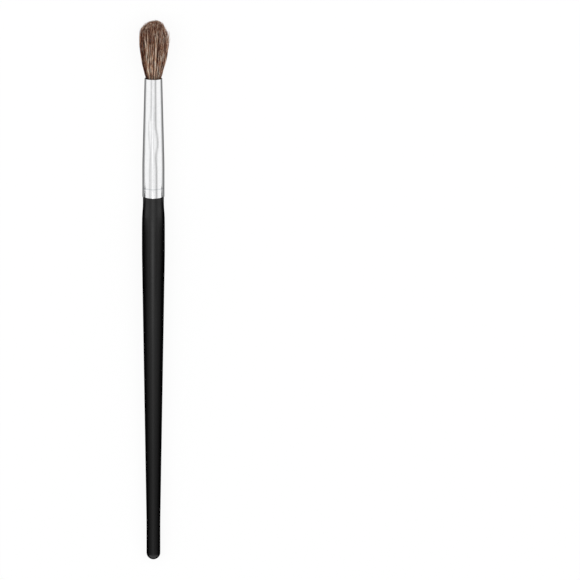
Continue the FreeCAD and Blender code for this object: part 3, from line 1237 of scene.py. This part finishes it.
# The paths were set so that the stripes wander in the metal as they do in the photograph.
# The left and right stripes are painted grey reflections in the ferrule: glowing cards that only gloss sees.
STRIPE_LEFT = Stripe(
    "stripe_left",
    16.0,
    Shade(0.62, 1.0),
    (
        (88.0, 33.0, 0.6), (104.0, 33.0, 0.65), (118.0, 31.5, 1.0), (128.0, 31.0, 1.0), (132.5, 28.0, 1.0),
        (136.5, 22.0, 1.0), (138.5, 31.0, 1.0), (140.5, 45.0, 1.1), (145.0, 54.0, 1.15), (146.0, 44.0, 1.1),
        (147.0, 28.0, 1.0), (148.5, 21.5, 1.0), (190.0, 21.0, 1.0),
    ),
)
STRIPE_RIGHT = Stripe(
    "stripe_right",
    16.0,
    Shade(0.4, 1.0),
    (
        (88.0, -26.0, 0.6), (104.0, -26.0, 0.6), (118.0, -28.5, 1.0), (130.0, -28.0, 1.0), (132.3, -24.0, 1.0),
        (134.3, -21.0, 1.0), (135.5, -24.0, 1.0), (136.7, -33.0, 1.0), (137.9, -42.0, 1.0), (139.3, -44.0, 1.0),
        (140.5, -37.0, 1.0), (141.8, -29.0, 1.0), (143.3, -23.5, 1.0), (190.0, -23.5, 1.0),
    ),
)
# A painted highlight along the top of the handle and the ferrule, twice as bright as white over the belly.
STRIPE_OVER = Stripe(
    "stripe_over",
    11.0,
    Shade(2.0, 0.8),
    (
        (-20.0, 5.0, 0.36), (30.0, 5.0, 0.42), (70.0, 5.0, 0.64), (92.0, 6.0, 1.0), (114.0, 6.0, 1.0),
        (122.0, 4.0, 0.64), (190.0, 3.0, 0.64),
    ),
)
# The sweeps are painted dark reflections that darken the handle's sides towards its edges.
SWEEP_GAINS = ((-20.0, 0.75), (30.0, 0.85), (70.0, 1.15), (114.0, 1.25))
SWEEPS = tuple(
    Stripe(name, 86.0, Shade(0.0, edge), tuple((height, bearing, gain) for height, gain in SWEEP_GAINS), 44.0)
    for name, bearing, edge in (("sweep_left", 90.0, 0.66), ("sweep_right", -90.0, 0.6))
)


@dataclass
class ReflectionCards:
    """The studio's cards, which only shine in the metal and the lacquer.

    Soft dark cards lie on the table under the brush as a painted shadow and painted dark reflections, and give the
    round pieces their dark edges. Grey and bright cards hang over it as painted stripes and a painted highlight, and
    the ones over the ferrule wander, as the stripes do in a tube whose wall is not quite even.

    Attributes:
        axis: the brush's line.
        foot: height of the ferrule's lower edge above the tail's tip.
        length: of the brush.
        lean: degrees by which the camera leans towards the tuft.
        beyond: by how much the cards on the table reach past the brush.
        overlap: by how much the ferrule's card on the table reaches past its lower edge.
        ferrule_shadow_card: outline across the card under the ferrule and the hair, to the side and up, which paints
            the brush's shadow on the table into the metal's reflection.
        ferrule_shadow_shade: its brightness, dark under the brush and white at its edges.
        handle_card: outline across the near-black card under the handle, a painted dark reflection, whose turned-up
            edges keep the far table out of the lacquer's shine.
        handle_shade: its brightness.
        stripes: the cards that hang over the brush.
        steps: flat stretches across a hanging card.
    """

    axis: BrushAxis
    foot: float
    length: float
    lean: float
    beyond: float = 20.0
    overlap: float = 3.0
    # The ferrule's card is a painted shadow in the reflections: dark under the brush and white at its edges.
    ferrule_shadow_card: tuple[Pair, ...] = ((-46.0, 0.02), (46.0, 0.02))
    ferrule_shadow_shade: Shade = Shade(0.12, 1.0, 0.1)
    # The handle's card is a near-black painted dark reflection, seen only in gloss.
    handle_card: tuple[Pair, ...] = ((-36.0, 5.0), (-36.0, 0.02), (36.0, 0.02), (36.0, 5.0))
    handle_shade: Shade = Shade(0.004, 0.04, 0.34)
    stripes: tuple[Stripe, ...] = (STRIPE_LEFT, STRIPE_RIGHT, STRIPE_OVER, *SWEEPS)
    steps: int = 24

    def build(self) -> None:
        """Sets up all the cards."""
        join = self.foot - self.overlap
        self.lay("handle_card", (-self.beyond, join), self.handle_card, self.handle_shade)
        self.lay("ferrule_shadow_card", (join, self.length + self.beyond), self.ferrule_shadow_card, self.ferrule_shadow_shade)
        for stripe in self.stripes:
            self.hang(stripe)

    def lay(self, name: str, ends: Pair, outline: Sequence[Pair], shade: Shade) -> None:
        """Lays a card on the table under the brush.

        Args:
            name: the card's name.
            ends: heights of its two ends above the tail's tip.
            outline: its corners across, each by its distance to the side and its height above the table.
            shade: its brightness.
        """
        rows = [[(place, side, up) for side, up in outline] for place in ends]
        self.light(stage_sheet(name, self.axis, rows, (1.0, 1.0)), shade)

    def hang(self, stripe: Stripe) -> None:
        """Hangs a card over the brush, moved towards the tail so that the camera sees it where its path says.

        Args:
            stripe: the card.
        """
        aside = stripe.distance * math.tan(math.radians(self.lean))
        rows = []
        for height, bearing, _ in stripe.path:
            angles = np.radians(bearing + stripe.spread * np.linspace(-1, 1, self.steps + 1))
            sides, ups = np.sin(angles) * stripe.distance, np.cos(angles) * stripe.distance
            rows.append([(height - aside, side, up) for side, up in zip(sides, ups)])
        self.light(stage_sheet(stripe.name, self.axis, rows, [share for _, _, share in stripe.path]), stripe.shade)

    def light(self, card: bpy.types.Object, shade: Shade) -> None:
        """Lights a card, and hides it from all rays but glossy ones.

        Args:
            card: the card.
            shade: its brightness.
        """
        # The card glows, bright or dark, as a painted reflection that only glossy rays see.
        material, tree = new_material(card.name)
        place = add_node(tree, "UVMap", {}, uv_map=ACROSS)
        place = add_node(tree, "SeparateXYZ", {"Vector": place})
        across = add_node(tree, "Math", {0: place.outputs["X"]}, operation="ABSOLUTE")
        span = {"From Min": shade.even_share, "From Max": 1.0, "To Min": shade.level, "To Max": shade.edge}
        bright = {0: add_node(tree, "MapRange", {"Value": across, **span}), 1: place.outputs["Y"]}
        bright = add_node(tree, "Math", bright, operation="MULTIPLY")
        glow = add_node(tree, "Emission", {"Color": linear(WHITE), "Strength": bright})
        add_node(tree, "OutputMaterial", {"Surface": glow})
        wear(card, material)
        for kind in RayKind:
            setattr(card, kind.value, kind is RayKind.GLOSSY)


@dataclass
class Studio:
    """The white table, the light round it and the camera.

    Attributes:
        axis: the brush's line.
        length: of the brush.
        lens: focal length.
        sensor: width of the camera's picture.
        lean: degrees by which the camera leans towards the tuft from square on to the brush.
        picture: the photograph's width and height, in pixels.
        pixel: millimetres across the brush in one pixel.
        column: pixel column of the brush's line.
        row: pixel row of the brush's middle.
        far_share: of the camera's distance, up to which it sees.
        table_size: width and length of the table.
        table_glow_share: of the table's brightness that no shadow dims.
        sky_light: strength of the even light from all round.
        box_light: strength of a soft box's face.
        box_size: width and height of a soft box.
        box_distance: from the brush.
        box_bearing: degrees of a soft box from the camera, to either side.
    """

    axis: BrushAxis
    length: float
    lens: float = 1000.0
    sensor: float = 36.0
    lean: float = 12.0
    picture: int = 580
    pixel: float = 0.3175
    column: float = 153.4
    row: float = 290.6
    far_share: float = 10.0
    table_size: float = 9000.0
    table_glow_share: float = 0.9
    sky_light: float = 0.78
    box_light: float = 1.25
    box_size: Pair = (620.0, 380.0)
    box_distance: float = 700.0
    box_bearing: float = 38.0

    def build(self) -> None:
        """Builds the table, the light and the camera."""
        self.build_table()
        self.build_sky()
        self.build_boxes()
        self.build_camera()

    def frame(self) -> tuple[Vector, Vector, Vector, Vector]:
        """Finds the picture's directions and the brush's middle.

        Returns:
            Right, up and back in the picture, and the middle of the brush's line.
        """
        lean = math.radians(self.lean)
        along, away = Vector(self.axis.along), Vector(-self.axis.down)
        back = away * math.cos(lean) + along * math.sin(lean)
        up = along * math.cos(lean) - away * math.sin(lean)
        return up.cross(back), up, back, Vector(self.axis.tip) + along * self.length / 2 * MM

    def build_camera(self) -> None:
        """Places the camera so that the brush lies where the photograph has it, upright in the picture."""
        right, up, back, middle = self.frame()
        centre = self.picture / 2
        distance = self.picture * self.pixel * self.lens / self.sensor * MM
        aside = (centre - self.column) * self.pixel * MM
        raised = (self.row - centre) * self.pixel * MM
        # The brush lies beside the picture's middle, so without this roll it would seem to lean.
        roll = math.asin(math.tan(math.radians(self.lean)) * aside / distance)
        right, up = (
            right * math.cos(roll) + up * math.sin(roll),
            up * math.cos(roll) - right * math.sin(roll),
        )
        data = bpy.data.cameras.new("camera")
        data.lens = self.lens
        data.sensor_width = self.sensor
        data.clip_end = distance * self.far_share
        camera = bpy.data.objects.new("camera", data)
        camera.matrix_world = Matrix((right, up, back)).transposed().to_4x4()
        camera.matrix_world.translation = middle + right * aside + up * raised + back * distance
        bpy.context.scene.collection.objects.link(camera)
        bpy.context.scene.camera = camera

    def build_table(self) -> None:
        """Lays the white table, which is as bright as paper to the eye and keeps the brush's soft shadow."""
        far = self.table_size / 2
        rows = [[(along, -far, 0), (along, far, 0)] for along in (-far, far)]
        table = stage_sheet("table", self.axis, rows, (1.0, 1.0))
        material, tree = new_material("white_paper_sweep")
        share = {0: seen_directly(tree), 1: self.table_glow_share}
        share = add_node(tree, "Math", share, operation="MULTIPLY")
        paper = add_node(tree, "BsdfDiffuse", {"Color": linear(WHITE)})
        glow = add_node(tree, "Emission", {"Color": linear(WHITE), "Strength": 1.0})
        mixed = add_node(tree, "MixShader", {0: share, 1: paper, 2: glow})
        add_node(tree, "OutputMaterial", {"Surface": mixed})
        wear(table, material)

    def build_sky(self) -> None:
        """Surrounds the table with an even white sky, which looks white however strong its light is."""
        world = bpy.data.worlds.new("white_studio")
        world.use_nodes = True
        tree = world.node_tree
        tree.nodes.clear()
        light = add_node(tree, "Background", {"Color": linear(WHITE), "Strength": self.sky_light})
        white = add_node(tree, "Background", {"Color": linear(WHITE), "Strength": 1.0})
        mixed = add_node(tree, "MixShader", {0: seen_directly(tree), 1: light, 2: white})
        add_node(tree, "OutputWorld", {"Surface": mixed}, is_active_output=True)
        bpy.context.scene.world = world

    def build_boxes(self) -> None:
        """Sets up two large soft boxes, which the metal and the lacquer don't show."""
        right, _, back, middle = self.frame()
        width, height = (size * MM for size in self.box_size)
        for name, way in (("soft_box_left", -1), ("soft_box_right", 1)):
            data = bpy.data.lights.new(name, "AREA")
            data.shape = "RECTANGLE"
            data.size, data.size_y = width, height
            data.energy = self.box_light * math.pi * width * height
            lamp = bpy.data.objects.new(name, data)
            angle = math.radians(self.box_bearing) * way
            out = back * math.cos(angle) + right * math.sin(angle)
            lamp.location = middle + out * self.box_distance * MM
            lamp.rotation_mode = "QUATERNION"
            lamp.rotation_quaternion = out.to_track_quat("Z", "Y")
            lamp.visible_glossy = False
            bpy.context.scene.collection.objects.link(lamp)


def main() -> None:
    """Builds the brush's pieces in order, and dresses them."""
    logging.basicConfig(level=logging.INFO, format="%(name)s: %(message)s")
    for leftover in list(bpy.data.objects):
        bpy.data.objects.remove(leftover)
    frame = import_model()
    nodes = frame["nodes"]
    axis = BrushAxis.from_record(frame["record"])
    kept = {"handle": BlackLacquer(), "root_plug": RESIN, "tenon_glue": GLUE}
    for name, finish in kept.items():
        wear(nodes[name], finish.make())
    ferrule = Ferrule(axis, nodes["ferrule"])
    tube = ferrule.build()
    ferrule.dress(tube)
    binding = Binding(axis, nodes["binding_thread"])
    thread = binding.build()
    binding.dress(thread)
    tuft = Tuft(axis, ferrule.mouth)
    hair = tuft.build()
    tuft.dress(hair)
    for piece in (*(nodes[name] for name in kept), tube, thread, *hair):
        log.info("%s: %d faces of %s", piece.name, len(piece.data.polygons), piece.active_material.name)
    studio = Studio(axis, ferrule.mouth + tuft.length)
    studio.build()
    ReflectionCards(axis, ferrule.bottom, studio.length, studio.lean).build()
    bpy.context.scene.view_settings.view_transform = "Standard"


if __name__ == "__main__":
    main()
